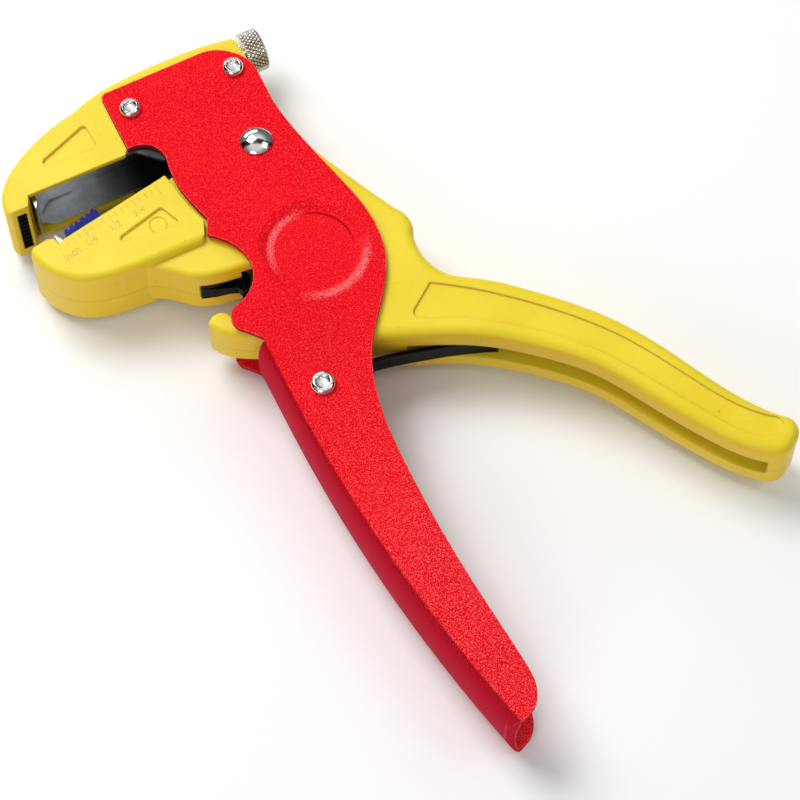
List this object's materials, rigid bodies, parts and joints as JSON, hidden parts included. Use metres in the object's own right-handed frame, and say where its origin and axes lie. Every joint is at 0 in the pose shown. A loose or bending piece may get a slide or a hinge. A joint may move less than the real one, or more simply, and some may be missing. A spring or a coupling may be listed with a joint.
{
  "type": "wire stripper",
  "caption": "Hand wire stripper with a gripping duck-bill head, pull-back stripping blades, length stop, side cutter and a sprung lever handle, resting open.",
  "frame": {"origin": "under the middle of the tool's box, on the plane it lies on", "axes": "+Z out of the upper side as it lies, +Y up the head away from the handles, +X from the jaws' mouth to the back of the head"},
  "size_m": [0.134, 0.1816, 0.024],
  "materials": {
    "red_powder_coat": "satin powder coat",
    "yellow_plastic": "satin moulded",
    "plated_steel": "bright plated",
    "sheet_steel": "ground",
    "black_steel": "blackened",
    "blade_steel": "ground edge",
    "blue_plastic": "glossy moulded"
  },
  "bodies": {
    "frame": {"red_frame": "red_powder_coat", "upper_jaw": "yellow_plastic", "upper_grip_insert": "black_steel", "front_jaw_rivet": "plated_steel", "rear_jaw_rivet": "plated_steel", "jaw_pivot_rivet": "plated_steel", "spring_rivet": "plated_steel", "jaw_pivot_sleeve": "sheet_steel", "spring_sleeve": "sheet_steel", "knob_washer": "plated_steel"},
    "lower_jaw": {"lower_jaw": "yellow_plastic", "lower_grip_insert": "black_steel", "cutter_blade": "black_steel", "cutter_pin": "sheet_steel", "cam_pin": "sheet_steel"},
    "lever": {"handle_lever": "yellow_plastic", "cutter_anvil": "blade_steel", "drive_pin": "sheet_steel"},
    "spring": {"return_spring": "black_steel"},
    "carriage": {"blade_carriage": "sheet_steel", "upper_blade": "blade_steel", "upper_blade_holder": "sheet_steel", "arm_pin": "sheet_steel"},
    "blade_arm": {"lower_blade_arm": "sheet_steel", "lower_blade": "blade_steel"},
    "stop": {"length_stop": "blue_plastic"},
    "knob": {"adjusting_knob": "plated_steel", "adjusting_screw": "plated_steel"},
    "depth_nut": {"depth_nut": "sheet_steel"}
  },
  "joints": [
    {"name": "handle_pivot", "type": "hinge", "parent": "frame", "child": "lever", "pos_m": [-0.00915, 0.02775, 0.012], "axis": [0, 0, -1], "range_deg": [0, 25], "stiffness_Nm_per_rad": 0.6, "springref_deg": -20.05},
    {"name": "lower_jaw_pivot", "type": "hinge", "parent": "frame", "child": "lower_jaw", "pos_m": [-0.00905, 0.05795, 0.012], "axis": [0, 0, -1], "range_deg": [0, 9.31]},
    {"name": "return_spring_pivot", "type": "hinge", "parent": "frame", "child": "spring", "pos_m": [-0.02155, -0.00364, 0.012], "axis": [0, 0, -1], "range_deg": [0, 38.01]},
    {"name": "carriage_slide", "type": "slide", "parent": "frame", "child": "carriage", "axis": [1, 0, 0], "range_m": [0, 0.01841]},
    {"name": "blade_arm_pivot", "type": "hinge", "parent": "carriage", "child": "blade_arm", "pos_m": [-0.01515, 0.06575, 0.012], "axis": [0, 0, -1], "range_deg": [0, 9.31]},
    {"name": "length_stop_slide", "type": "slide", "parent": "blade_arm", "child": "stop", "axis": [0.9869, 0.1616, 0], "range_m": [0, 0.012]},
    {"name": "adjusting_knob_turn", "type": "hinge", "parent": "frame", "child": "knob", "pos_m": [0.00005, 0.08586, 0.012], "axis": [1, 0, 0], "range_deg": [-361, 361]},
    {"name": "depth_nut_slide", "type": "slide", "parent": "frame", "child": "depth_nut", "axis": [1, 0, 0], "range_m": [-0.0007, 0.0007]}
  ],
  "couplings": [
    {"joint": "lower_jaw_pivot", "follows": "handle_pivot", "ratio": 0.372},
    {"joint": "return_spring_pivot", "follows": "handle_pivot", "ratio": 1.52},
    {"joint": "carriage_slide", "follows": "handle_pivot", "m_per_rad": 0.04217},
    {"joint": "blade_arm_pivot", "follows": "handle_pivot", "ratio": 0.372},
    {"joint": "adjusting_knob_turn", "follows": "depth_nut_slide", "rad_per_m": 8976}
  ]
}
